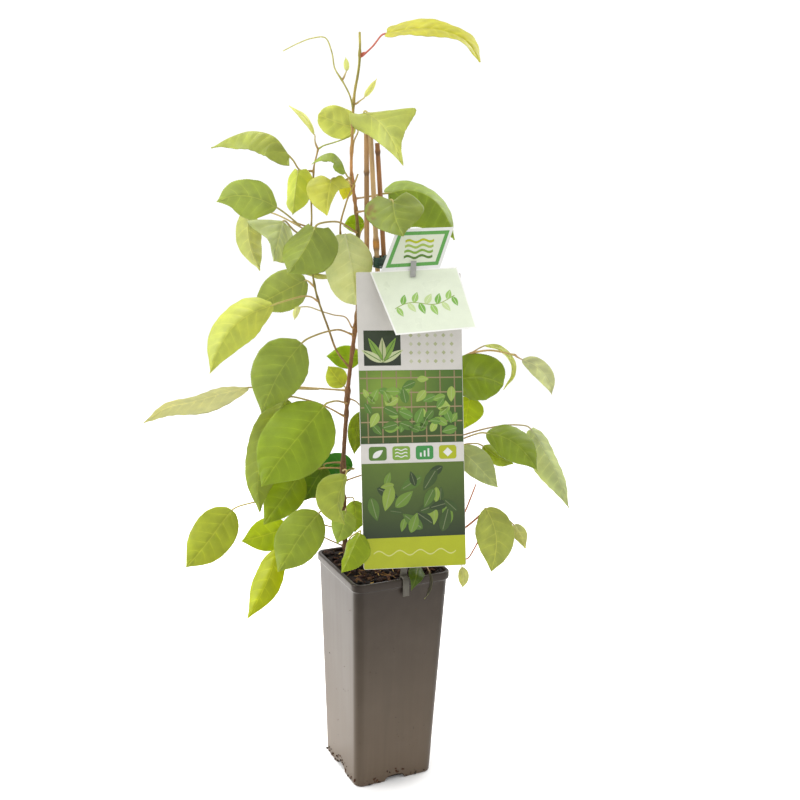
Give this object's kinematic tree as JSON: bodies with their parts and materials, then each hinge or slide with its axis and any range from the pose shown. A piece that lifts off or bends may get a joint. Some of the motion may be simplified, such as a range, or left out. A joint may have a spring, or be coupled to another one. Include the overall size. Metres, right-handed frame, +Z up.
{
  "type": "potted kiwi berry vine",
  "caption": "Young kiwi-berry vine with ovate leaves on a twining stem and bamboo canes, in a tall square nursery pot with soil and a plant label on a rim-hooked stake.",
  "frame": {"origin": "centre of the pot's flat underside", "axes": "+Z up along the pot's axis; the label hangs over the -Y wall; +X to the right seen from the label's side"},
  "size_m": [0.3596, 0.1998, 0.6676],
  "materials": {
    "pot_plastic": "matte moulded, dusty",
    "soil": "rough, dark bark and peat mix",
    "bamboo": "dry, satin, with darker nodes",
    "tie_wire": "coated wire, satin",
    "bark": "woody stem, brown bark turning olive",
    "shoot": "young green to tan stem",
    "leaf_green": "living leaf, satin with pale veins",
    "leaf_pale": "young or back-lit leaf, satin with pale veins",
    "leaf_under": "leaf underside, matte and pale",
    "label_print": "printed card, satin gloss",
    "swing_print": "printed folded card, satin gloss",
    "stake_grey": "grey moulded plastic"
  },
  "bodies": {
    "root": {"nursery_pot": "pot_plastic", "potting_soil": "soil", "bamboo_cane_1": "bamboo", "bamboo_cane_2": "bamboo", "bamboo_cane_3": "bamboo", "cane_tie": "tie_wire", "vine_stem": "bark", "right_shoot": "shoot", "low_shoot": "shoot", "label_card": "label_print", "swing_card": "swing_print", "label_stake": "stake_grey", "label_clip": "stake_grey", "leaf_01": "leaf_pale", "leaf_02": "leaf_pale", "leaf_03": "leaf_pale", "leaf_04": "leaf_pale", "leaf_05": "leaf_green", "leaf_06": "leaf_pale", "leaf_07": "leaf_pale", "leaf_08": "leaf_green", "leaf_09": "leaf_green", "leaf_10": "leaf_green", "leaf_11": "leaf_pale", "leaf_12": "leaf_pale", "leaf_13": "leaf_green", "leaf_14": "leaf_under", "leaf_15": "leaf_green", "leaf_16": "leaf_pale", "leaf_17": "leaf_green", "leaf_18": "leaf_under", "leaf_19": "leaf_green", "leaf_20": "leaf_green", "leaf_21": "leaf_pale", "leaf_22": "leaf_pale", "leaf_23": "leaf_green", "leaf_24": "leaf_pale", "leaf_25": "leaf_green", "leaf_26": "leaf_green", "leaf_27": "leaf_green", "leaf_28": "leaf_green", "leaf_29": "leaf_green", "leaf_30": "leaf_pale", "leaf_31": "leaf_green", "leaf_32": "leaf_green", "leaf_33": "leaf_green", "leaf_34": "leaf_green", "leaf_35": "leaf_green", "leaf_36": "leaf_green", "leaf_37": "leaf_pale", "leaf_38": "leaf_green", "leaf_39": "leaf_pale", "leaf_40": "leaf_green", "leaf_41": "leaf_green", "leaf_42": "leaf_green", "leaf_43": "leaf_green", "leaf_44": "leaf_green", "leaf_45": "leaf_green", "leaf_46": "leaf_green", "leaf_47": "leaf_green"}
  },
  "joints": []
}
